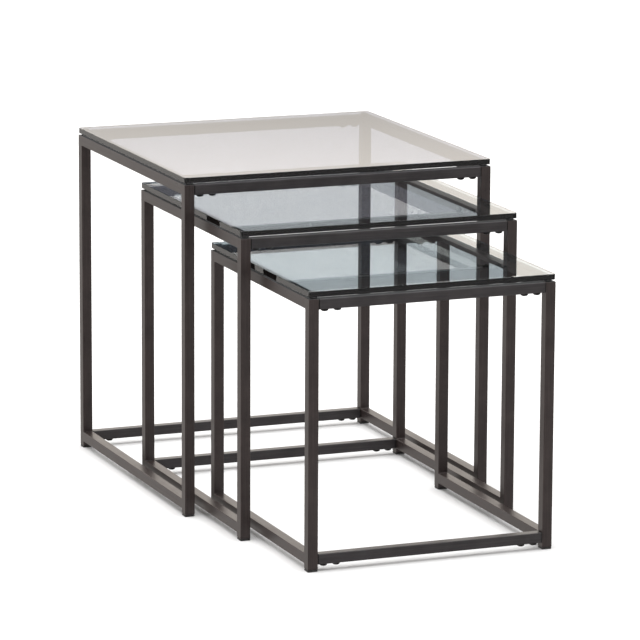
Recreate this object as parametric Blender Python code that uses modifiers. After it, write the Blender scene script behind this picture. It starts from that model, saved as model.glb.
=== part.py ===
"""Nest of three square side tables in welded steel tube with tinted glass tops.

Every table has two welded side frames, three bolted cross rails, a glass top on
four pads and four foot caps. The smaller tables stand partly drawn out of the
larger ones, towards the front.

Metres. +Z is up, -Y is the front, and X runs across. The origin is on the floor,
under the middle of the whole nest.
"""

from collections import namedtuple
import math

import bmesh
import bpy
from mathutils import Matrix, Vector

MM = 0.001

# Overall sizes of the large table, and how much smaller each next one is.
LARGE_WIDTH = 480 * MM
LARGE_HEIGHT = 502 * MM
WIDTH_STEP = 54 * MM
HEIGHT_STEP = 52 * MM
TABLE_DEPTHS = (480 * MM, 425 * MM, 390 * MM)

# How far each smaller table is drawn out of the one around it.
MEDIUM_DRAWN_OUT = 158 * MM
SMALL_DRAWN_OUT = 194 * MM

# Square steel tube.
TUBE = 15 * MM
TUBE_WALL = 1.2 * MM
TUBE_EDGE_RADIUS = 1.2 * MM
TUBE_EDGE_SEGMENTS = 2
BOTTOM_RAIL_CLEARANCE = 10 * MM

# Glass and what it rests on.
GLASS_THICKNESS = 8 * MM
GLASS_CORNER_RADIUS = 4 * MM
GLASS_CORNER_SEGMENTS = 4
GLASS_ARRIS = 0.4 * MM
PAD_SPACE = 3 * MM
PAD_RADIUS = 5.5 * MM
PAD_SIDES = 16
PAD_CHAMFER = 0.4 * MM
PAD_FROM_SIDE = 9.2 * MM
PAD_FROM_FRONT = 7.5 * MM

# Foot caps.
FOOT_FLANGE = 3 * MM
FOOT_PLUG_LENGTH = 12 * MM
FOOT_CHAMFER = 0.8 * MM

# Joiner inside each rail end: a steel bar and the two button-head bolts in it.
JOINER_LENGTH = 40 * MM
BOLT_FROM_LEG = (11 * MM, 30 * MM)
BOLT_RADIUS = 3 * MM
BOLT_HOLE_RADIUS = 3.4 * MM
BOLT_HEAD_RADIUS = 5.4 * MM
BOLT_HEAD_HEIGHT = 3.6 * MM
BOLT_SIDES = 12
BOLT_DOME_STEPS = 3

# Clearance between pieces that touch.
GAP = 0.3 * MM
# How far a cutter runs past the face that it cuts.
OVERRUN = 2 * MM
MERGE_DISTANCE = 0.01 * MM

OUTER_SECTION = TUBE / 2
INNER_SECTION = TUBE - 2 * TUBE_WALL
FITTING_SECTION = INNER_SECTION - 2 * GAP
LEG_BOTTOM = FOOT_FLANGE + GAP

Table = namedtuple("Table", "name width depth frame_top front_y bottom_rail")
Finish = namedtuple("Finish", "color roughness metallic transmission")

FINISHES = {
    "gunmetal_steel": Finish((0.048, 0.041, 0.038), 0.42, 0.85, 0.0),
    "dark_bolt_steel": Finish((0.030, 0.028, 0.027), 0.38, 0.90, 0.0),
    "smoked_glass": Finish((0.42, 0.44, 0.45), 0.02, 0.0, 1.0),
    "black_rubber": Finish((0.015, 0.015, 0.016), 0.70, 0.0, 0.0),
    "black_plastic": Finish((0.020, 0.019, 0.019), 0.50, 0.0, 0.0),
}


def nest_of_tables():
    """The three tables, with the nest's depth centred on the origin."""
    drawn_out = (0, MEDIUM_DRAWN_OUT, MEDIUM_DRAWN_OUT + SMALL_DRAWN_OUT)
    large_front = (drawn_out[2] - TABLE_DEPTHS[0]) / 2
    bottom_rail_ends = ("rear", "rear", "front")
    tables = []
    for index, name in enumerate(("large", "medium", "small")):
        height = LARGE_HEIGHT - index * HEIGHT_STEP
        tables.append(Table(
            name=name,
            width=LARGE_WIDTH - index * WIDTH_STEP,
            depth=TABLE_DEPTHS[index],
            frame_top=height - GLASS_THICKNESS - PAD_SPACE,
            front_y=large_front - drawn_out[index],
            bottom_rail=bottom_rail_ends[index],
        ))
    return tables


# Scene helpers.

def clear_scene():
    for obj in list(bpy.data.objects):
        bpy.data.objects.remove(obj, do_unlink=True)


def new_collection(name):
    collection = bpy.data.collections.new(name)
    bpy.context.scene.collection.children.link(collection)
    return collection


def new_material(name, finish):
    material = bpy.data.materials.new(name)
    material.use_nodes = True
    shader = material.node_tree.nodes["Principled BSDF"]
    shader.inputs["Base Color"].default_value = (*finish.color, 1.0)
    shader.inputs["Roughness"].default_value = finish.roughness
    shader.inputs["Metallic"].default_value = finish.metallic
    shader.inputs["Transmission Weight"].default_value = finish.transmission
    material.diffuse_color = (*finish.color, 1.0)
    return material


def new_object(name, mesh, collection):
    obj = bpy.data.objects.new(name, mesh)
    collection.objects.link(obj)
    return obj


def new_cutter(name, mesh, cutters):
    cutter = new_object(name, mesh, cutters)
    cutter.hide_render = True
    cutter.display_type = "WIRE"
    return cutter


def add_boolean(obj, other, operation):
    modifier = obj.modifiers.new(f"{operation.lower()}_{other.name}", "BOOLEAN")
    modifier.object = other
    modifier.operation = operation
    modifier.solver = "EXACT"


def add_bevel(obj, width, segments):
    modifier = obj.modifiers.new("rounded_edges", "BEVEL")
    modifier.width = width
    modifier.segments = segments
    modifier.limit_method = "ANGLE"
    modifier.angle_limit = math.radians(40)
    modifier.use_clamp_overlap = True


def evaluated_mesh(obj, name):
    """A copy of the object's mesh with its modifiers applied."""
    bpy.context.view_layer.update()
    depsgraph = bpy.context.evaluated_depsgraph_get()
    mesh = bpy.data.meshes.new_from_object(obj.evaluated_get(depsgraph))
    mesh.name = name
    mesh.shade_smooth()
    mesh.set_sharp_from_angle(angle=math.radians(30))
    return mesh


# Basic meshes.

def box_mesh(name, low, high, rounded_axis=None, radius=0.0, segments=1):
    """A box, with the edges along rounded_axis rounded where one is given."""
    low = Vector(low)
    high = Vector(high)
    bm = bmesh.new()
    bmesh.ops.create_cube(bm, size=1.0)
    bmesh.ops.scale(bm, vec=high - low, verts=bm.verts)
    bmesh.ops.translate(bm, vec=(low + high) / 2, verts=bm.verts)
    if rounded_axis is not None:
        along = [
            edge for edge in bm.edges
            if abs((edge.verts[0].co - edge.verts[1].co).normalized()[rounded_axis]) > 0.9
        ]
        bmesh.ops.bevel(bm, geom=along, offset=radius, segments=segments,
                        profile=0.5, affect="EDGES")
    mesh = bpy.data.meshes.new(name)
    bm.to_mesh(mesh)
    bm.free()
    return mesh


def bar_mesh(name, start, end, section):
    """A square bar along X from start to end, centred on the X axis."""
    half = section / 2
    return box_mesh(name, (start, -half, -half), (end, half, half))


def cylinders_mesh(name, centres, radius, low_z, high_z, sides):
    """Upright cylinders at the given X places on the X axis."""
    bm = bmesh.new()
    for centre_x in centres:
        place = Matrix.Translation((centre_x, 0, (low_z + high_z) / 2))
        bmesh.ops.create_cone(bm, cap_ends=True, segments=sides, radius1=radius,
                              radius2=radius, depth=high_z - low_z, matrix=place)
    mesh = bpy.data.meshes.new(name)
    bm.to_mesh(mesh)
    bm.free()
    return mesh


def turned_object(name, profile, sides, collection):
    """A solid of revolution about Z. The profile runs down its outer side."""
    mesh = bpy.data.meshes.new(name)
    edges = [(index, index + 1) for index in range(len(profile) - 1)]
    mesh.from_pydata([(radius, 0, height) for radius, height in profile], edges, [])
    obj = new_cutter(name, mesh, collection)
    screw = obj.modifiers.new("turned", "SCREW")
    screw.angle = math.tau
    screw.steps = sides
    screw.render_steps = sides
    screw.use_merge_vertices = True
    screw.merge_threshold = MERGE_DISTANCE
    return obj


# Pieces. Each function gives a mesh in the piece's own frame.

def frame_ring(name, table, inset, cutters):
    """A side frame's outside, or its bore when inset is the tube's wall.

    The frame lies in the plane X = 0 with its front leg at Y = 0. The bore runs
    out through the bottoms of the legs.
    """
    half = OUTER_SECTION - inset
    bottom = LEG_BOTTOM if inset == 0 else LEG_BOTTOM - OVERRUN
    ring = new_cutter(name, box_mesh(
        name,
        (-half, inset, bottom),
        (half, table.depth - inset, table.frame_top - inset),
    ), cutters)
    inside_front = TUBE - inset
    inside_rear = table.depth - TUBE + inset
    window = new_cutter(f"{name}_window", box_mesh(
        f"{name}_window",
        (-TUBE, inside_front, BOTTOM_RAIL_CLEARANCE + TUBE - inset),
        (TUBE, inside_rear, table.frame_top - TUBE + inset),
    ), cutters)
    below_rail = new_cutter(f"{name}_below_rail", box_mesh(
        f"{name}_below_rail",
        (-TUBE, inside_front, -TUBE),
        (TUBE, inside_rear, BOTTOM_RAIL_CLEARANCE + inset),
    ), cutters)
    add_boolean(ring, window, "DIFFERENCE")
    add_boolean(ring, below_rail, "DIFFERENCE")
    return ring


def side_frame_mesh(table, cutters):
    frame = frame_ring(f"{table.name}_frame", table, 0, cutters)
    bore = frame_ring(f"{table.name}_frame_bore", table, TUBE_WALL, cutters)
    add_bevel(frame, TUBE_EDGE_RADIUS, TUBE_EDGE_SEGMENTS)
    add_boolean(frame, bore, "DIFFERENCE")
    return evaluated_mesh(frame, f"{table.name}_side_frame")


def cross_rail_mesh(table, cutters):
    """A tube along X, centred on the origin, with bolt holes in its underside."""
    name = f"{table.name}_cross_rail"
    half_length = table.width / 2 - TUBE - GAP
    half = OUTER_SECTION
    rail = new_cutter(name, box_mesh(
        name, (-half_length, -half, -half), (half_length, half, half),
        rounded_axis=0, radius=TUBE_EDGE_RADIUS, segments=TUBE_EDGE_SEGMENTS,
    ), cutters)
    past_end = half_length + OVERRUN
    bore = new_cutter(f"{name}_bore", bar_mesh(
        f"{name}_bore", -past_end, past_end, INNER_SECTION), cutters)
    leg_face = table.width / 2 - TUBE
    places = [
        side * (leg_face - offset) for side in (-1, 1) for offset in BOLT_FROM_LEG
    ]
    holes = new_cutter(f"{name}_holes", cylinders_mesh(
        f"{name}_holes", places, BOLT_HOLE_RADIUS, -half - OVERRUN, 0, BOLT_SIDES), cutters)
    add_boolean(rail, bore, "DIFFERENCE")
    add_boolean(rail, holes, "DIFFERENCE")
    return evaluated_mesh(rail, name)


def bolt_profile():
    """Half section of a button-head bolt, head down, from the middle of the tube."""
    seat = -OUTER_SECTION - GAP
    profile = [(0, 0), (BOLT_RADIUS, 0), (BOLT_RADIUS, seat), (BOLT_HEAD_RADIUS, seat)]
    for step in range(1, BOLT_DOME_STEPS + 1):
        turn = step / BOLT_DOME_STEPS * math.pi / 2
        profile.append((BOLT_HEAD_RADIUS * math.cos(turn),
                        seat - BOLT_HEAD_HEIGHT * math.sin(turn)))
    profile[-1] = (0, profile[-1][1])
    return profile


def rail_joiner_mesh(cutters):
    """The bar in a rail's end with its two bolts. The leg's face is at X = 0."""
    name = "rail_joiner"
    joiner = new_cutter(name, bar_mesh(name, GAP, JOINER_LENGTH, FITTING_SECTION), cutters)
    for number, offset in enumerate(BOLT_FROM_LEG, start=1):
        bolt = turned_object(f"{name}_bolt_{number}", bolt_profile(), BOLT_SIDES, cutters)
        bolt.location.x = offset
        add_boolean(joiner, bolt, "UNION")
    return evaluated_mesh(joiner, name)


def glass_top_mesh(table, cutters):
    name = f"{table.name}_glass"
    glass = new_cutter(name, box_mesh(
        name,
        (-table.width / 2, 0, 0),
        (table.width / 2, table.depth, GLASS_THICKNESS),
        rounded_axis=2, radius=GLASS_CORNER_RADIUS, segments=GLASS_CORNER_SEGMENTS,
    ), cutters)
    add_bevel(glass, GLASS_ARRIS, 1)
    return evaluated_mesh(glass, name)


def glass_pad_mesh(cutters):
    name = "glass_pad"
    pad = new_cutter(name, cylinders_mesh(
        name, (0,), PAD_RADIUS, GAP, PAD_SPACE - GAP, PAD_SIDES), cutters)
    add_bevel(pad, PAD_CHAMFER, 1)
    return evaluated_mesh(pad, name)


def foot_cap_mesh(cutters):
    """A flange under the leg with a plug up into it."""
    name = "foot_cap"
    half = OUTER_SECTION
    cap = new_cutter(name, box_mesh(
        name, (-half, -half, 0), (half, half, FOOT_FLANGE)), cutters)
    add_bevel(cap, FOOT_CHAMFER, 1)
    plug_half = FITTING_SECTION / 2
    plug = new_cutter(f"{name}_plug", box_mesh(
        f"{name}_plug",
        (-plug_half, -plug_half, FOOT_FLANGE / 2),
        (plug_half, plug_half, FOOT_FLANGE + FOOT_PLUG_LENGTH),
    ), cutters)
    add_boolean(cap, plug, "UNION")
    return evaluated_mesh(cap, name)


# Assembly.

def place(name, mesh, material, collection, parent, location, turn=0.0):
    obj = new_object(name, mesh, collection)
    obj.parent = parent
    obj.location = location
    obj.rotation_euler.z = turn
    if not mesh.materials:
        mesh.materials.append(material)
    return obj


def rails_of(table):
    """Name, centre Y and centre Z of each cross rail of a table."""
    half = OUTER_SECTION
    y_of = {"front": half, "rear": table.depth - half}
    top_z = table.frame_top - half
    bottom_z = BOTTOM_RAIL_CLEARANCE + half
    return (
        ("top_rail_front", y_of["front"], top_z),
        ("top_rail_rear", y_of["rear"], top_z),
        (f"bottom_rail_{table.bottom_rail}", y_of[table.bottom_rail], bottom_z),
    )


def build_table(table, shared, materials, collection, cutters):
    origin = bpy.data.objects.new(f"{table.name}_table", None)
    origin.location.y = table.front_y
    collection.objects.link(origin)

    def add(part, mesh, material, location, turn=0.0):
        place(f"{table.name}_{part}", mesh, materials[material], collection,
              origin, location, turn)

    frame_mesh = side_frame_mesh(table, cutters)
    rail_mesh = cross_rail_mesh(table, cutters)
    sides = (("left", -1), ("right", 1))
    ends = (("front", 0, 1), ("rear", table.depth, -1))

    for side, sign in sides:
        frame_x = sign * (table.width / 2 - OUTER_SECTION)
        add(f"side_frame_{side}", frame_mesh, "gunmetal_steel", (frame_x, 0, 0))

    for rail, rail_y, rail_z in rails_of(table):
        add(rail, rail_mesh, "gunmetal_steel", (0, rail_y, rail_z))
        for side, sign in sides:
            leg_face = sign * (table.width / 2 - TUBE)
            add(f"{rail}_joiner_{side}", shared["joiner"], "dark_bolt_steel",
                (leg_face, rail_y, rail_z), turn=math.pi if sign > 0 else 0.0)

    for side, sign in sides:
        for end, end_y, inward in ends:
            add(f"glass_pad_{end}_{side}", shared["pad"], "black_rubber",
                (sign * (table.width / 2 - PAD_FROM_SIDE),
                 end_y + inward * PAD_FROM_FRONT, table.frame_top))
            add(f"foot_cap_{end}_{side}", shared["foot"], "black_plastic",
                (sign * (table.width / 2 - OUTER_SECTION),
                 end_y + inward * OUTER_SECTION, 0))

    add("glass_top", glass_top_mesh(table, cutters), "smoked_glass",
        (0, 0, table.frame_top + PAD_SPACE))


def remove_cutters(cutters):
    """The pieces hold finished meshes, so the shapes they were cut with can go."""
    for obj in list(cutters.objects):
        bpy.data.objects.remove(obj, do_unlink=True)
    bpy.data.collections.remove(cutters)


def main():
    clear_scene()
    collection = new_collection("nesting_tables")
    cutters = new_collection("cutters")
    materials = {name: new_material(name, finish) for name, finish in FINISHES.items()}
    shared = {
        "joiner": rail_joiner_mesh(cutters),
        "pad": glass_pad_mesh(cutters),
        "foot": foot_cap_mesh(cutters),
    }
    for table in nest_of_tables():
        build_table(table, shared, materials, collection, cutters)
    remove_cutters(cutters)


main()
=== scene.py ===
"""The looks of the nest of three side tables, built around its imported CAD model.

Finer pieces of the same size stand in the place of every CAD node: welded and
bolted steel tube, smoked glass with ground edges, rubber pads and moulded foot
caps. Metres, in the CAD model's frame: +Z up, -Y the front.
"""

from collections import namedtuple
import math
import random

import bmesh
import bpy
from mathutils import Matrix, Vector


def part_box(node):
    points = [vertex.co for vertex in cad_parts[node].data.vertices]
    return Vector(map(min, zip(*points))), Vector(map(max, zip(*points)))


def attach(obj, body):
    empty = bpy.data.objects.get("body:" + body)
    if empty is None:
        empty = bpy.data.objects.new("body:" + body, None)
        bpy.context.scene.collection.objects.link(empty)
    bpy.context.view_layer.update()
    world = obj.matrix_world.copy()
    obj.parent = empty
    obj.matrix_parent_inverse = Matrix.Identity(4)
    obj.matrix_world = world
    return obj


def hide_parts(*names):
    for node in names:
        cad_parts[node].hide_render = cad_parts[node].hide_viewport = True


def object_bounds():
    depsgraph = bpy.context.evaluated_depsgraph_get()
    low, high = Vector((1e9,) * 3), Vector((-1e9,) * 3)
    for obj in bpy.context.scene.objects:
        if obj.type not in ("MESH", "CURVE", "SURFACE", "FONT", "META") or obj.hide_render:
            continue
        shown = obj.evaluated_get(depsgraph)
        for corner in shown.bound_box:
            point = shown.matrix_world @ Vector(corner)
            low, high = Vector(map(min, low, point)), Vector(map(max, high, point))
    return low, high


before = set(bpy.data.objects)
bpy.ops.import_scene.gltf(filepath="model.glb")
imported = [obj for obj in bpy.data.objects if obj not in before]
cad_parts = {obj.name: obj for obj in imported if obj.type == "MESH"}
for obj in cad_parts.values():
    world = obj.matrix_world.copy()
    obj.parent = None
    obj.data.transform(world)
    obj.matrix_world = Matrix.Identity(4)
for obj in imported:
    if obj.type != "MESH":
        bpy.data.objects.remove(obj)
cad_low, cad_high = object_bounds()

MM = 0.001
TABLES = ("large", "medium", "small")
SIDES = ("left", "right")
ENDS = ("front", "rear")
BOTTOM_RAIL_END = {"large": "rear", "medium": "rear", "small": "front"}

# Square tube. Its outside comes from the CAD nodes.
TUBE_WALL = 1.2 * MM
TUBE_EDGE_RADIUS = 1.5 * MM
TUBE_EDGE_SEGMENTS = 4
WELD_RADIUS = 1.4 * MM
WELD_SEGMENTS = 3
# A rail's ends are eased, and these eased faces are painted matt near-black as shade, which
# leaves a fine dark seam where it meets the leg.
RAIL_END_RADIUS = 0.9 * MM
RAIL_END_SEGMENTS = 2
RAIL_BORE_RADIUS = TUBE_WALL / 2
RAIL_BORE_SEGMENTS = 2

# Glass.
GLASS_CORNER_RADIUS = 4 * MM
GLASS_CORNER_SEGMENTS = 8
GLASS_ARRIS = 0.35 * MM
# Edges sharper than this many degrees stay crisp.
GLASS_CREASE = 30
# Smoked glass: light is absorbed at density * (1 - tint) per metre.
Smoke = namedtuple("Smoke", "tint density")
SMOKE = {
    "large": Smoke((0.27, 0.31, 0.43), 170.0),
    "medium": Smoke((0.30, 0.38, 0.42), 118.0),
    "small": Smoke((0.28, 0.41, 0.46), 104.0),
}

# Joiner bar and its two bolts, whose places are measured from the leg's face.
BOLT_FROM_LEG = (11 * MM, 30 * MM)
BOLT_SIDES = 32
BOLT_SHANK_RADIUS = 3 * MM
BOLT_HOLE_RADIUS = 3.4 * MM
BOLT_TIP_CHAMFER = 0.4 * MM
BAR_CHAMFER = 0.5 * MM
BAR_SEGMENTS = 2
# Washer.
WASHER_RADIUS = 5.9 * MM
WASHER_THICKNESS = 0.8 * MM
WASHER_PLAY = 0.2 * MM
WASHER_EASE = 0.2 * MM
# Button head: a short straight side, a dome up to so many degrees, and a flat crown.
HEAD_RADIUS = 5.3 * MM
HEAD_EASE = 0.1 * MM
HEAD_SIDE = 0.7 * MM
DOME_TURN = 65
DOME_STEP = 13
CROWN_RADIUS = 0.3 * HEAD_RADIUS
SOCKET_SIDES = 6
SOCKET_RADIUS = 2.3 * MM
SOCKET_DEPTH = 1.7 * MM

# Glass pads: the shares are of a pad's radius, and the rim's is of half its height.
PAD_SIDES = 48
PAD_DISH_DEPTH = 0.25 * MM
PAD_DISH_SHARE = 0.35
PAD_DISH_EDGE_SHARE = 0.45
PAD_BASE_SHARE = 0.4
PAD_RIM_SHARE = 0.8
PAD_RIM_TURN = 80
PAD_RIM_STEPS = 6

# Foot caps. The ribs stand proud of the plug, at shares of its height.
FLANGE_HEIGHT = 3 * MM
FLANGE_EDGE_RADIUS = 0.8 * MM
FLANGE_EDGE_SEGMENTS = 3
RIB_DEPTH = 0.35 * MM
RIB_HALF_HEIGHT = 0.6 * MM
RIB_LEVELS = (0.35, 0.65)

# GAP and HAIR keep touching pieces apart, and a cutter runs OVERRUN past what it cuts.
GAP = 0.3 * MM
HAIR = 0.05 * MM
OVERRUN = 2 * MM
MERGE_DISTANCE = 1e-6
# An edge or a face lies along an axis when its cosine with it is over this.
ALONG = 0.9

# Colours, each plain one before the worn, dusty or scuffed one.
LEG_COLOR = (0.040, 0.030, 0.028)
RAIL_COLOR = (0.038, 0.034, 0.035)
# Painted shade: the near-black of the tube's faces under the glass and at the rails' ends.
PAINTED_SHADE_COLOR = (0.003, 0.003, 0.003)
BOLT_COLORS = ((0.017, 0.016, 0.016), (0.048, 0.045, 0.043))
RUBBER_COLORS = ((0.012, 0.012, 0.012), (0.035, 0.034, 0.033))
PLASTIC_COLORS = ((0.014, 0.013, 0.013), (0.045, 0.043, 0.041))

# A tube's lacquer is painted paler towards its edges, a painted highlight together with
# rubbed wear: from the first distance inside the edge, fully from the second.
WEAR_AND_HIGHLIGHT_START = 1.3 * MM
WEAR_AND_HIGHLIGHT_FULL = 0.5 * MM
WEAR_AND_HIGHLIGHT_SHARE = 0.3
WEAR_AND_HIGHLIGHT_LIFT = 2.1
# Each tube's grain starts at a place of its own, up to this far along.
FARTHEST_START = 50
# Most of a noise lies between these values.
NOISE_RANGE = (0.3, 0.7)

# The camera, around the CAD box's centre.
CAMERA_AZIMUTH = math.radians(-21.66)
CAMERA_ELEVATION = math.radians(11.78)
CAMERA_ROLL = math.radians(0.28)
CAMERA_DISTANCE = 6.445
CAMERA_AIM = Vector((-0.0045, 0.0, 0.0134))
CAMERA_LENS = 245.1

# Soft studio light: the glow of each light falls to nothing at its reach, in degrees.
SoftLight = namedtuple("SoftLight", "azimuth elevation reach strength color")
AMBIENT = 0.28
SOFT_LIGHTS = (
    SoftLight(-70, 10, 70, 0.9, (1.0, 0.96, 0.93)),
    SoftLight(175, 0, 90, 0.3, (1.0, 0.96, 0.97)),
    SoftLight(22, -13, 22, 0.6, (1.0, 1.0, 1.0)),
    SoftLight(0, 90, 65, 2.45, (1.0, 1.0, 1.0)),
)
# The backdrop's glow grows this many times brighter from one elevation to another.
BACKDROP = SoftLight(14, 0, 52, 0.48, (1.0, 0.92, 0.82))
BACKDROP_GAIN = 3.2
BACKDROP_RISE = (8.0, 10.6)

# The floor is a wide slab, whose white reflects this share of the light.
FLOOR_WHITE = 0.82
FLOOR_REACH = 40.0
FLOOR_THICKNESS = 0.02

chance = random.Random(7)


# Scene helpers.

def link_object(name, mesh):
    obj = bpy.data.objects.new(name, mesh)
    bpy.context.scene.collection.objects.link(obj)
    return obj


def remove_object(obj):
    bpy.data.objects.remove(obj, do_unlink=True)


def finished_mesh(obj, name):
    """The object's mesh with its modifiers applied. The object goes."""
    bpy.context.view_layer.update()
    depsgraph = bpy.context.evaluated_depsgraph_get()
    mesh = bpy.data.meshes.new_from_object(obj.evaluated_get(depsgraph))
    mesh.name = name
    remove_object(obj)
    return mesh


def mesh_from(bm, name):
    mesh = bpy.data.meshes.new(name)
    bm.to_mesh(mesh)
    bm.free()
    return mesh


def cut(obj, *cutters, operation="DIFFERENCE"):
    """Cuts the cutters from the object, or joins them to it with another operation."""
    for cutter in cutters:
        modifier = obj.modifiers.new(cutter.name, "BOOLEAN")
        modifier.operation = operation
        modifier.object = cutter
        modifier.solver = "EXACT"


def round_edges(obj, width, segments, angle=40):
    bevel = obj.modifiers.new("rounded_edges", "BEVEL")
    bevel.width = width
    bevel.segments = segments
    bevel.limit_method = "ANGLE"
    bevel.angle_limit = math.radians(angle)


def crisp(obj, angle=35):
    """Smooth shading on rounded edges that leaves flat faces flat."""
    obj.data.shade_smooth()
    obj.data.set_sharp_from_angle(angle=math.radians(angle))
    normals = obj.modifiers.new("flat_faces", "WEIGHTED_NORMAL")
    normals.keep_sharp = True
    normals.weight = 100


def node_centre(node):
    low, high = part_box(node)
    return (low + high) / 2


def node_size(node):
    low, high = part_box(node)
    return high - low


def finish_piece(piece, table, slot, material, *nodes):
    """Gives a piece its material and its body, and hides the CAD nodes that it stands for.
    """
    piece.data.materials.clear()
    piece.data.materials.append(material)
    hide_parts(*nodes)
    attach(piece, f"{table}_table")
    return piece


# Basic meshes.

def box(name, low, high, rounded_axis=None, radius=0.0, segments=1):
    """A box, with the edges along rounded_axis rounded where one is given."""
    low, high = Vector(low), Vector(high)
    bm = bmesh.new()
    bmesh.ops.create_cube(bm, size=1.0)
    bmesh.ops.scale(bm, vec=high - low, verts=bm.verts)
    bmesh.ops.translate(bm, vec=(low + high) / 2, verts=bm.verts)
    if rounded_axis is not None:
        along = [
            edge for edge in bm.edges
            if abs((edge.verts[0].co - edge.verts[1].co).normalized()[rounded_axis]) > ALONG
        ]
        bmesh.ops.bevel(bm, geom=along, offset=radius, segments=segments,
                        profile=0.5, affect="EDGES")
    return mesh_from(bm, name)


def turned(name, profile, sides):
    """A profile of points (r, z), listed down its outer side, turned about Z."""
    bm = bmesh.new()
    rings = []
    for radius, height in profile:
        if radius == 0:
            rings.append([bm.verts.new((0, 0, height))])
            continue
        rings.append([
            bm.verts.new((radius * math.cos(turn), radius * math.sin(turn), height))
            for turn in (math.tau * side / sides for side in range(sides))
        ])
    for upper, lower in zip(rings, rings[1:]):
        for side in range(sides):
            after = (side + 1) % sides
            corners = [upper[side % len(upper)], lower[side % len(lower)],
                       lower[after % len(lower)], upper[after % len(upper)]]
            unique = list(dict.fromkeys(corners))
            if len(unique) > 2:
                bm.faces.new(unique)
    bmesh.ops.recalc_face_normals(bm, faces=bm.faces)
    return mesh_from(bm, name)


def upright_prism(name, centres, radius, low_z, high_z, sides):
    """Upright prisms with this many sides, one at each place along X."""
    bm = bmesh.new()
    for x in centres:
        place = Matrix.Translation((x, 0, (low_z + high_z) / 2))
        bmesh.ops.create_cone(bm, cap_ends=True, segments=sides, radius1=radius,
                              radius2=radius, depth=high_z - low_z, matrix=place)
    return mesh_from(bm, name)


def arc(centre, radius, start, end, steps):
    """Points (r, z) of an arc of a turned profile, its angles in degrees."""
    points = []
    for step in range(steps + 1):
        turn = math.radians(start + (end - start) * step / steps)
        points.append((centre[0] + radius * math.cos(turn),
                       centre[1] + radius * math.sin(turn)))
    return points


# Coordinates that follow the tube.

def lay_along(mesh, member_of, is_painted_shade):
    """Stores at each corner how far along its tube it is, and where across it.

    member_of gives, for a face's centre, the tube's axis number and a point on its
    centre line. Each tube starts at a place of its own, so that no two look alike.
    The function given third tells which faces are painted near-black as shade (under the
    glass and at the rails' ends), from their centre and normal.
    """
    mesh.attributes.new("tube_place", "FLOAT_VECTOR", "CORNER")
    mesh.attributes.new("painted_shade", "FLOAT", "CORNER")
    tube_place, painted_shade = mesh.attributes["tube_place"], mesh.attributes["painted_shade"]
    starts = {}
    for face in mesh.polygons:
        axis, centre = member_of(face.center)
        start = starts.setdefault((axis, tuple(centre)), chance.uniform(0, FARTHEST_START))
        across = [number for number in range(3) if number != axis]
        painted_shade_share = float(is_painted_shade(face.center, face.normal))
        for loop in face.loop_indices:
            place = mesh.vertices[mesh.loops[loop].vertex_index].co - centre
            tube_place.data[loop].vector = (
                place[axis] + start, place[across[0]], place[across[1]])
            painted_shade.data[loop].value = painted_shade_share
    return mesh


# Shader helpers.

class Nodes:
    """A node tree with short calls that add to it."""

    def __init__(self, tree):
        self.tree = tree
        tree.nodes.clear()

    def add(self, kind, settings=None, **inputs):
        node = self.tree.nodes.new(f"ShaderNode{kind}")
        for name, value in (settings or {}).items():
            setattr(node, name, value)
        for name, value in inputs.items():
            self.feed(node.inputs[name.replace("_", " ")], value)
        return node

    def feed(self, socket, value):
        if isinstance(value, bpy.types.NodeSocket):
            self.tree.links.new(value, socket)
        elif socket.type == "RGBA" and len(value) == 3:
            socket.default_value = (*value, 1.0)
        else:
            socket.default_value = value

    def math(self, operation, first, second=0.0, clamp=False):
        node = self.add("Math", {"operation": operation, "use_clamp": clamp})
        self.feed(node.inputs[0], first)
        self.feed(node.inputs[1], second)
        return node.outputs[0]

    def spread(self, value, low, high, to_low=0.0, to_high=1.0, smooth=False):
        node = self.add("MapRange", {
            "interpolation_type": "SMOOTHSTEP" if smooth else "LINEAR"})
        for number, fed in enumerate((value, low, high, to_low, to_high)):
            self.feed(node.inputs[number], fed)
        return node.outputs[0]

    def varied(self, noise, low, high):
        """A noise as a value that varies from low to high."""
        return self.spread(noise, *NOISE_RANGE, low, high)

    def blend(self, share, first, second, way="MIX"):
        node = self.add("Mix", {"data_type": "RGBA", "blend_type": way})
        self.feed(node.inputs[0], share)
        self.feed(node.inputs[6], first)
        self.feed(node.inputs[7], second)
        return node.outputs[2]

    def stretched(self, vector, scale):
        node = self.add("VectorMath", {"operation": "MULTIPLY"})
        self.feed(node.inputs[0], vector)
        self.feed(node.inputs[1], scale)
        return node.outputs[0]

    def add_vectors(self, first, second):
        node = self.add("VectorMath", {"operation": "ADD"})
        self.feed(node.inputs[0], first)
        self.feed(node.inputs[1], second)
        return node.outputs[0]

    def noise(self, vector, scale, detail=2.0, roughness=0.5):
        node = self.add("TexNoise", Vector=vector, Scale=scale, Detail=detail,
                        Roughness=roughness)
        return node.outputs["Fac"]

    def bump(self, height, strength, distance):
        return self.add("Bump", Height=height, Strength=strength,
                        Distance=distance).outputs[0]


def new_material(name):
    material = bpy.data.materials.new(name)
    material.use_nodes = True
    return material, Nodes(material.node_tree)


def close_material(nodes, shader, volume=None):
    output = nodes.add("OutputMaterial", Surface=shader)
    if volume is not None:
        nodes.feed(output.inputs["Volume"], volume)


# Materials.

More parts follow.
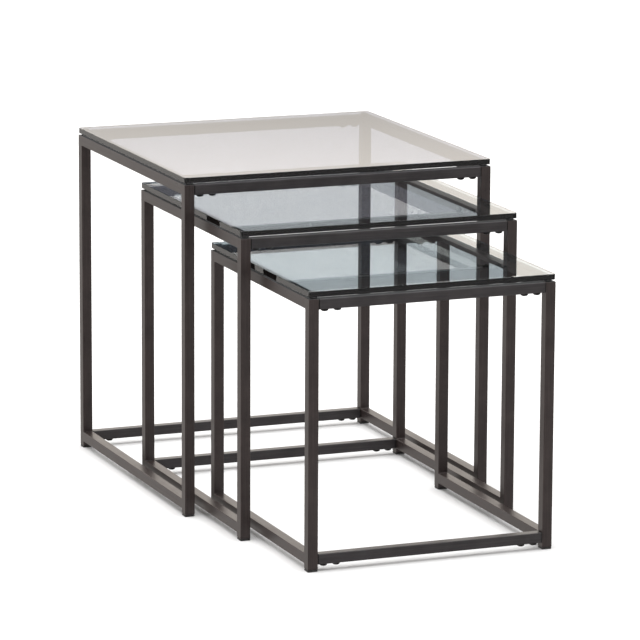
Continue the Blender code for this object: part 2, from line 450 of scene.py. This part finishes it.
def tube_material(name, color):
    """Satin gunmetal lacquer on drawn steel tube, with its grain along the tube."""
    material, nodes = new_material(name)
    place = nodes.add("Attribute", {"attribute_name": "tube_place"}).outputs["Vector"]
    _, across_1, across_2 = nodes.add("SeparateXYZ", Vector=place).outputs

    grain = nodes.noise(nodes.stretched(place, (14, 900, 900)), 1.0, 3.0, 0.6)
    fine_grain = nodes.noise(nodes.stretched(place, (60, 5000, 5000)), 1.0, 2.0, 0.5)
    cloud = nodes.noise(place, 28.0, 4.0, 0.55)
    specks = nodes.noise(place, 1400.0, 2.0, 0.5)

    half = node_size("large_side_frame_left").x / 2
    # Painted highlight with rubbed wear: the lacquer is lighter near the tube's edges, in
    # patches.
    near_edge = nodes.math("MINIMUM", nodes.math("ABSOLUTE", across_1),
                           nodes.math("ABSOLUTE", across_2))
    edge = nodes.spread(near_edge, half - WEAR_AND_HIGHLIGHT_START, half - WEAR_AND_HIGHLIGHT_FULL, smooth=True)
    rubbed_and_highlit = nodes.math("MULTIPLY", edge, nodes.spread(cloud, 0.42, 0.68), clamp=True)

    shade = nodes.varied(grain, 0.76, 1.24)
    shade = nodes.math("MULTIPLY", shade, nodes.varied(cloud, 0.82, 1.18))
    shade = nodes.math("MULTIPLY", shade, nodes.varied(specks, 0.94, 1.06))
    painted = nodes.blend(1.0, color, nodes.add(
        "CombineColor", Red=shade, Green=shade, Blue=shade).outputs[0], way="MULTIPLY")
    worn_and_highlit = nodes.blend(nodes.math("MULTIPLY", rubbed_and_highlit, WEAR_AND_HIGHLIGHT_SHARE), painted,
                       tuple(WEAR_AND_HIGHLIGHT_LIFT * share for share in color))

    # Painted shade: the faces under the glass and at the rails' ends are painted matt
    # near-black, rougher and with no metal sheen.
    painted_shade = nodes.add("Attribute", {"attribute_name": "painted_shade"}).outputs["Fac"]
    shaded_coat = nodes.blend(painted_shade, worn_and_highlit, PAINTED_SHADE_COLOR)
    roughness = nodes.math("ADD", nodes.varied(grain, 0.29, 0.41),
                           nodes.varied(cloud, -0.03, 0.03))
    roughness = nodes.math("ADD", roughness, nodes.math("MULTIPLY", painted_shade, 0.5))
    roughness = nodes.math("SUBTRACT", roughness, nodes.math("MULTIPLY", rubbed_and_highlit, 0.06))
    height = nodes.math("ADD", nodes.math("MULTIPLY", grain, 0.6),
                        nodes.math("MULTIPLY", fine_grain, 0.4))
    shader = nodes.add(
        "BsdfPrincipled", Base_Color=shaded_coat, IOR=1.5,
        Metallic=nodes.spread(painted_shade, 0.0, 1.0, 0.35, 0.0), Roughness=roughness,
        Normal=nodes.bump(height, 0.12, 0.05 * MM))
    close_material(nodes, shader.outputs[0])
    return material


def bolt_material():
    """Blackened steel, a little polished where it is handled."""
    material, nodes = new_material("blackened_bolt_steel")
    place = nodes.add("TexCoord").outputs["Object"]
    cloud = nodes.noise(place, 260.0, 4.0, 0.6)
    scratches = nodes.noise(nodes.stretched(place, (300, 2600, 300)), 1.0, 3.0, 0.6)
    color = nodes.blend(nodes.spread(cloud, 0.35, 0.7), *BOLT_COLORS)
    shader = nodes.add(
        "BsdfPrincipled", Base_Color=color, Metallic=0.8, IOR=1.5,
        Roughness=nodes.varied(scratches, 0.3, 0.46),
        Normal=nodes.bump(scratches, 0.15, 0.04 * MM))
    close_material(nodes, shader.outputs[0])
    return material


def glass_material(table):
    """Smoked float glass, with faint smears."""
    material, nodes = new_material(f"smoked_glass_{table}")
    place = nodes.add("TexCoord").outputs["Object"]
    smears = nodes.noise(nodes.stretched(place, (9, 22, 9)), 1.0, 5.0, 0.6)
    shader = nodes.add(
        "BsdfPrincipled", Base_Color=(1.0, 1.0, 1.0), IOR=1.5,
        Roughness=nodes.spread(smears, 0.5, 0.8, 0.0, 0.012))
    shader.inputs["Transmission Weight"].default_value = 1.0
    smoke = SMOKE[table]
    volume = nodes.add("VolumeAbsorption", Color=smoke.tint, Density=smoke.density)
    close_material(nodes, shader.outputs[0], volume.outputs[0])
    return material


def rubber_material():
    """Matt black rubber with a little dust."""
    material, nodes = new_material("black_pad_rubber")
    place = nodes.add("TexCoord").outputs["Object"]
    dust = nodes.noise(place, 420.0, 4.0, 0.65)
    grain = nodes.noise(place, 3200.0, 2.0, 0.5)
    color = nodes.blend(nodes.spread(dust, 0.5, 0.8), *RUBBER_COLORS)
    shader = nodes.add(
        "BsdfPrincipled", Base_Color=color, Metallic=0.0, IOR=1.5,
        Roughness=nodes.spread(dust, 0.3, 0.8, 0.62, 0.8),
        Normal=nodes.bump(grain, 0.3, 0.05 * MM))
    close_material(nodes, shader.outputs[0])
    return material


def plastic_material():
    """Moulded plastic with a fine spark grain and upright scuffs."""
    material, nodes = new_material("moulded_cap_plastic")
    place = nodes.add("TexCoord").outputs["Object"]
    grain = nodes.noise(place, 2200.0, 3.0, 0.6)
    scuffs = nodes.noise(nodes.stretched(place, (500, 500, 120)), 1.0, 4.0, 0.6)
    color = nodes.blend(nodes.spread(scuffs, 0.55, 0.8), *PLASTIC_COLORS)
    shader = nodes.add(
        "BsdfPrincipled", Base_Color=color, Metallic=0.0, IOR=1.5,
        Roughness=nodes.varied(grain, 0.42, 0.6),
        Normal=nodes.bump(grain, 0.35, 0.04 * MM))
    close_material(nodes, shader.outputs[0])
    return material


# Pieces.

def side_frame(table, side, rail_low, material):
    """Two legs and two rails of square tube, welded into one frame and ground smooth."""
    node = f"{table}_side_frame_{side}"
    low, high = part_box(node)
    size = high - low
    tube = size.x
    half = tube / 2

    def ring(name, inset, fillet):
        """The frame's outside, or its bore when inset is the tube's wall.

        Cutters open the window between the rails and the space below the lower rail.
        """
        front, rear = tube - inset, size.y - tube + inset
        body = link_object(name, box(
            name, (-half + inset, inset, low.z - (OVERRUN if inset else 0)),
            (half - inset, size.y - inset, high.z - inset)))
        window = link_object(f"{name}_window", box(
            f"{name}_window", (-tube, front, rail_low + tube - inset),
            (tube, rear, high.z - tube + inset),
            rounded_axis=0 if fillet else None, radius=fillet, segments=WELD_SEGMENTS))
        below = link_object(f"{name}_below", box(
            f"{name}_below", (-tube, front, -tube), (tube, rear, rail_low + inset),
            rounded_axis=0 if fillet else None, radius=fillet, segments=WELD_SEGMENTS))
        cut(body, window, below)
        return body, [window, below]

    outside, outside_cutters = ring("frame", 0.0, WELD_RADIUS)
    bore, bore_cutters = ring("bore", TUBE_WALL, 0.0)
    round_edges(outside, TUBE_EDGE_RADIUS, TUBE_EDGE_SEGMENTS)
    cut(outside, bore)
    mesh = finished_mesh(outside, f"{table}_welded_frame_{side}")
    for cutter in (bore, *outside_cutters, *bore_cutters):
        remove_object(cutter)

    # The faces are parted where leg and rail meet, so that each has its own grain.
    bm = bmesh.new()
    bm.from_mesh(mesh)
    for joint_y in (tube, size.y - tube):
        bmesh.ops.bisect_plane(
            bm, geom=bm.verts[:] + bm.edges[:] + bm.faces[:], plane_co=(0, joint_y, 0),
            plane_no=(0, 1, 0), dist=MERGE_DISTANCE)
    bm.to_mesh(mesh)
    bm.free()

    def member_of(point):
        if point.y < tube:
            return 2, Vector((0, half, 0))
        if point.y > size.y - tube:
            return 2, Vector((0, size.y - half, 0))
        height = high.z - half if point.z > high.z / 2 else rail_low + half
        return 1, Vector((0, 0, height))

    # The top faces under the glass are painted near-black as shade.
    def under_glass(point, normal):
        return normal.z > ALONG and point.z > high.z - HAIR

    piece = link_object(mesh.name, lay_along(mesh, member_of, under_glass))
    crisp(piece)
    piece.location = (low.x + half, low.y, 0)
    return finish_piece(piece, table, "gunmetal_frame", material, node)


def cross_rail(table, rail, material):
    """A tube between the legs, with its bolt holes underneath."""
    node = f"{table}_{rail}"
    size = node_size(node)
    half, reach = size.z / 2, size.x / 2
    outside = link_object("rail", box(
        "rail", (-reach, -half, -half), (reach, half, half),
        rounded_axis=0, radius=TUBE_EDGE_RADIUS, segments=TUBE_EDGE_SEGMENTS))
    round_edges(outside, RAIL_END_RADIUS, RAIL_END_SEGMENTS)
    inner = half - TUBE_WALL
    bore = link_object("rail_bore", box(
        "rail_bore", (-reach - OVERRUN, -inner, -inner), (reach + OVERRUN, inner, inner),
        rounded_axis=0, radius=RAIL_BORE_RADIUS, segments=RAIL_BORE_SEGMENTS))
    leg_face = reach + GAP
    places = [sign * (leg_face - offset) for sign in (-1, 1) for offset in BOLT_FROM_LEG]
    holes = link_object("rail_holes", upright_prism(
        "rail_holes", places, BOLT_HOLE_RADIUS, -half - OVERRUN, 0, BOLT_SIDES))
    cut(outside, bore, holes)
    mesh = finished_mesh(outside, f"{table}_tube_{rail}")
    for cutter in (bore, holes):
        remove_object(cutter)

    # Painted shade: a top rail's face under the glass and the eased ends at the legs are
    # painted near-black.
    def in_painted_shade(point, normal):
        under_glass = "top" in rail and normal.z > ALONG and point.z > half - HAIR
        return under_glass or abs(point.x) > reach - RAIL_END_RADIUS

    piece = link_object(mesh.name, lay_along(mesh, lambda point: (0, Vector()), in_painted_shade))
    crisp(piece)
    piece.location = node_centre(node)
    return finish_piece(piece, table, "gunmetal_frame", material, node)


def bolt_mesh(half_tube, head_bottom):
    """A button-head bolt with a hex socket and a washer, head down.

    Z = 0 is the middle of the tube, and its underside is at -half_tube.
    """
    seat = -half_tube - HAIR
    washer_low = seat - WASHER_THICKNESS
    head_top = washer_low - HAIR
    dome_start = head_top - HEAD_SIDE
    dome = [(HEAD_RADIUS * math.cos(math.radians(turn)),
             dome_start + (head_bottom - dome_start) * math.sin(math.radians(turn)))
            for turn in range(0, DOME_TURN + 1, DOME_STEP)]
    profile = [(0, 0), (BOLT_SHANK_RADIUS - BOLT_TIP_CHAMFER, 0),
               (BOLT_SHANK_RADIUS, -BOLT_TIP_CHAMFER), (BOLT_SHANK_RADIUS, head_top),
               (HEAD_RADIUS - HEAD_EASE, head_top), (HEAD_RADIUS, head_top - HEAD_EASE)]
    profile += dome + [(CROWN_RADIUS, head_bottom), (0, head_bottom)]
    bolt = link_object("bolt", turned("bolt", profile, BOLT_SIDES))
    socket = link_object("socket", upright_prism(
        "socket", (0,), SOCKET_RADIUS, head_bottom - OVERRUN, head_bottom + SOCKET_DEPTH,
        SOCKET_SIDES))
    cut(bolt, socket)
    mesh = finished_mesh(bolt, "bolt")
    remove_object(socket)

    inner, outer = BOLT_SHANK_RADIUS + WASHER_PLAY, WASHER_RADIUS
    eased = outer - WASHER_EASE
    ring = [(inner, seat), (eased, seat), (outer, seat - WASHER_EASE),
            (outer, washer_low + WASHER_EASE), (eased, washer_low), (inner, washer_low),
            (inner, seat)]
    washer = turned("washer", ring, BOLT_SIDES)
    bm = bmesh.new()
    bm.from_mesh(washer)
    bmesh.ops.remove_doubles(bm, verts=bm.verts, dist=MERGE_DISTANCE)
    bmesh.ops.recalc_face_normals(bm, faces=bm.faces)
    bm.from_mesh(mesh)
    bm.to_mesh(mesh)
    bm.free()
    bpy.data.meshes.remove(washer)
    return mesh


def bar_mesh(length, section):
    """The bar inside a rail's end, with eased edges and two through holes."""
    half = section / 2
    bar = link_object("bar", box("bar", (GAP, -half, -half), (length, half, half)))
    round_edges(bar, BAR_CHAMFER, BAR_SEGMENTS)
    holes = link_object("bar_holes", upright_prism(
        "bar_holes", BOLT_FROM_LEG, BOLT_SHANK_RADIUS + HAIR,
        -half - OVERRUN, half + OVERRUN, BOLT_SIDES))
    cut(bar, holes)
    mesh = finished_mesh(bar, "joiner_bar")
    remove_object(holes)
    return mesh


def joiner(table, rail, side, half_tube, shared, material):
    """A bar in the rail's end and the bolts that come up into it from below."""
    node = f"{table}_{rail}_joiner_{side}"
    low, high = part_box(node)
    rail_middle = node_centre(f"{table}_{rail}")
    outward = -1 if side == "left" else 1
    leg_x = low.x - GAP if side == "left" else high.x + GAP
    if "bar" not in shared:
        shared["bar"] = bar_mesh(high.x - low.x + GAP, 2 * (high.z - rail_middle.z))
        shared["bolt"] = bolt_mesh(half_tube, low.z - rail_middle.z)

    bar = link_object(f"{table}_{rail}_bar_{side}", shared["bar"].copy())
    bar.location = (leg_x, rail_middle.y, rail_middle.z)
    bar.rotation_euler.z = math.pi if outward > 0 else 0.0
    crisp(bar)
    finish_piece(bar, table, "joiner_steel", material, node)
    for number, offset in enumerate(BOLT_FROM_LEG, start=1):
        bolt = link_object(f"{table}_{rail}_bolt_{side}_{number}", shared["bolt"].copy())
        bolt.location = (leg_x - outward * offset, rail_middle.y, rail_middle.z)
        bolt.data.transform(Matrix.Rotation(chance.uniform(0, math.pi / 3), 4, "Z"))
        crisp(bolt)
        finish_piece(bolt, table, "joiner_steel", material)


def pane(table, material):
    """A glass top with rounded corners and a ground arris along every edge."""
    node = f"{table}_glass_top"
    size = node_size(node)
    half = size / 2
    name = f"{table}_glass_pane"
    piece = link_object(name, box(name, -half, half, rounded_axis=2,
                                  radius=GLASS_CORNER_RADIUS,
                                  segments=GLASS_CORNER_SEGMENTS))
    round_edges(piece, GLASS_ARRIS, 1)
    piece = link_object(name, finished_mesh(piece, name))
    crisp(piece, angle=GLASS_CREASE)
    piece.location = node_centre(node)
    # The studio's light reaches what is under the pane, where refraction would stop it.
    piece.visible_shadow = False
    piece.visible_diffuse = False
    return finish_piece(piece, table, "smoked_glass", material, node)


def pad(table, end, side, material):
    """A soft disc under the glass, with a rounded rim and a shallow dish on top."""
    node = f"{table}_glass_pad_{end}_{side}"
    size = node_size(node)
    radius, half = size.x / 2, size.z / 2
    rim = PAD_RIM_SHARE * half
    dish = half - PAD_DISH_DEPTH
    profile = [(0, dish), (radius * PAD_DISH_SHARE, dish),
               (radius * PAD_DISH_EDGE_SHARE, half)]
    profile += arc((radius - rim, half - rim), rim, PAD_RIM_TURN, 0, PAD_RIM_STEPS)
    profile += arc((radius - rim, -half + rim), rim, 0, -PAD_RIM_TURN, PAD_RIM_STEPS)
    profile += [(radius * PAD_BASE_SHARE, -half), (0, -half)]
    name = f"{table}_pad_{end}_{side}"
    piece = link_object(name, turned(name, profile, PAD_SIDES))
    piece.location = node_centre(node)
    crisp(piece)
    return finish_piece(piece, table, "pad_rubber", material, node)


def foot(table, end, side, material):
    """A moulded cap: a flange under the leg and a ribbed plug up into it."""
    node = f"{table}_foot_cap_{end}_{side}"
    low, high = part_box(node)
    centre = (low + high) / 2
    half = (high.x - low.x) / 2
    rib_reach = half - TUBE_WALL - GAP
    plug_reach = rib_reach - RIB_DEPTH
    flange = link_object("flange", box(
        "flange", (-half, -half, 0), (half, half, FLANGE_HEIGHT),
        rounded_axis=2, radius=TUBE_EDGE_RADIUS, segments=TUBE_EDGE_SEGMENTS))
    round_edges(flange, FLANGE_EDGE_RADIUS, FLANGE_EDGE_SEGMENTS)
    additions = [link_object("plug", box(
        "plug", (-plug_reach, -plug_reach, FLANGE_HEIGHT / 2),
        (plug_reach, plug_reach, high.z)))]
    for level in RIB_LEVELS:
        height = FLANGE_HEIGHT + (high.z - FLANGE_HEIGHT) * level
        additions.append(link_object("rib", box(
            "rib", (-rib_reach, -rib_reach, height - RIB_HALF_HEIGHT),
            (rib_reach, rib_reach, height + RIB_HALF_HEIGHT))))
    cut(flange, *additions, operation="UNION")
    name = f"{table}_moulded_cap_{end}_{side}"
    mesh = finished_mesh(flange, name)
    for addition in additions:
        remove_object(addition)
    piece = link_object(name, mesh)
    crisp(piece)
    piece.location = (centre.x, centre.y, 0)
    return finish_piece(piece, table, "cap_plastic", material, node)


# Stage.

def add_floor():
    """A matt white floor, clear from below, so that the underside can be seen."""
    floor = link_object("studio_floor", box(
        "studio_floor", (-FLOOR_REACH, -FLOOR_REACH, -FLOOR_THICKNESS),
        (FLOOR_REACH, FLOOR_REACH, 0)))
    material, nodes = new_material("studio_floor_white")
    diffuse = nodes.add("BsdfDiffuse", Color=(FLOOR_WHITE, FLOOR_WHITE, FLOOR_WHITE))
    facing = nodes.add("SeparateXYZ", Vector=nodes.add("NewGeometry").outputs["Normal"])
    seen_from_above = nodes.math("GREATER_THAN", facing.outputs["Z"], 0.0)
    surface = nodes.add("MixShader", Fac=seen_from_above)
    nodes.feed(surface.inputs[1], nodes.add("BsdfTransparent").outputs[0])
    nodes.feed(surface.inputs[2], diffuse.outputs[0])
    close_material(nodes, surface.outputs[0])
    floor.data.materials.append(material)
    floor.visible_glossy = False


def toward(azimuth, elevation):
    """The direction at this azimuth, clockwise from +Y, and elevation, in degrees."""
    azimuth, elevation = math.radians(azimuth), math.radians(elevation)
    return (math.sin(azimuth) * math.cos(elevation),
            math.cos(azimuth) * math.cos(elevation), math.sin(elevation))


def soft_glow(nodes, direction, light):
    """How bright a light is, seen along this direction."""
    facing = nodes.add("VectorMath", {"operation": "DOT_PRODUCT"})
    nodes.feed(facing.inputs[0], direction)
    nodes.feed(facing.inputs[1], toward(light.azimuth, light.elevation))
    return nodes.spread(facing.outputs["Value"], math.cos(math.radians(light.reach)),
                        1.0, 0.0, light.strength, smooth=True)


def backdrop_glow(nodes, direction):
    """The backdrop's glow, which grows brighter above the horizon."""
    height = nodes.add("SeparateXYZ", Vector=direction).outputs["Z"]
    rise = [math.sin(math.radians(elevation)) for elevation in BACKDROP_RISE]
    gain = nodes.spread(height, *rise, 1.0, BACKDROP_GAIN, smooth=True)
    return nodes.math("MULTIPLY", soft_glow(nodes, direction, BACKDROP), gain)


def add_light():
    """A soft white studio: each light is a wide glow around one direction."""
    world = bpy.data.worlds.new("studio_light")
    bpy.context.scene.world = world
    world.use_nodes = True
    nodes = Nodes(world.node_tree)
    direction = nodes.add("TexCoord").outputs["Generated"]
    glows = [(backdrop_glow(nodes, direction), BACKDROP.color)]
    glows += [(soft_glow(nodes, direction, light), light.color) for light in SOFT_LIGHTS]
    total = nodes.add("CombineXYZ", X=AMBIENT, Y=AMBIENT, Z=AMBIENT).outputs[0]
    for glow, color in glows:
        tinted = nodes.add("VectorMath", {"operation": "SCALE"}, Scale=glow)
        nodes.feed(tinted.inputs[0], color)
        total = nodes.add_vectors(total, tinted.outputs[0])
    background = nodes.add("Background", Color=total, Strength=1.0)
    nodes.add("OutputWorld", Surface=background.outputs[0])


def add_camera():
    """The camera, aimed just beside the CAD box's centre."""
    data = bpy.data.cameras.new("camera")
    data.lens = CAMERA_LENS
    data.clip_start = 0.1
    data.clip_end = 200.0
    camera = link_object("camera", data)
    backward = Vector((
        math.sin(CAMERA_AZIMUTH) * math.cos(CAMERA_ELEVATION),
        -math.cos(CAMERA_AZIMUTH) * math.cos(CAMERA_ELEVATION),
        math.sin(CAMERA_ELEVATION),
    ))
    right = Vector((0, 0, 1)).cross(backward).normalized()
    up = backward.cross(right)
    right, up = (right * math.cos(CAMERA_ROLL) + up * math.sin(CAMERA_ROLL),
                 up * math.cos(CAMERA_ROLL) - right * math.sin(CAMERA_ROLL))
    aim = (Vector(cad_low) + Vector(cad_high)) / 2 + CAMERA_AIM
    turn = Matrix((right, up, backward)).transposed().to_4x4()
    camera.matrix_world = Matrix.Translation(aim + backward * CAMERA_DISTANCE) @ turn
    bpy.context.scene.camera = camera


# The pictures show plain values, without a film curve.
bpy.context.scene.view_settings.view_transform = "Standard"
add_floor()
add_light()
add_camera()

leg_finish = tube_material("gunmetal_tube", LEG_COLOR)
rail_finish = tube_material("gunmetal_rail", RAIL_COLOR)
steel_finish = bolt_material()
rubber_finish = rubber_material()
plastic_finish = plastic_material()
shared_meshes = {}
for table in TABLES:
    bottom_rail = f"bottom_rail_{BOTTOM_RAIL_END[table]}"
    rail_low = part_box(f"{table}_{bottom_rail}")[0].z
    half_tube = node_size(f"{table}_{bottom_rail}").z / 2
    for side in SIDES:
        side_frame(table, side, rail_low, leg_finish)
    for rail in ("top_rail_front", "top_rail_rear", bottom_rail):
        cross_rail(table, rail, rail_finish)
        for side in SIDES:
            joiner(table, rail, side, half_tube, shared_meshes, steel_finish)
    for side in SIDES:
        for end in ENDS:
            pad(table, end, side, rubber_finish)
            foot(table, end, side, plastic_finish)
    pane(table, glass_material(table))

for mesh in shared_meshes.values():
    bpy.data.meshes.remove(mesh)
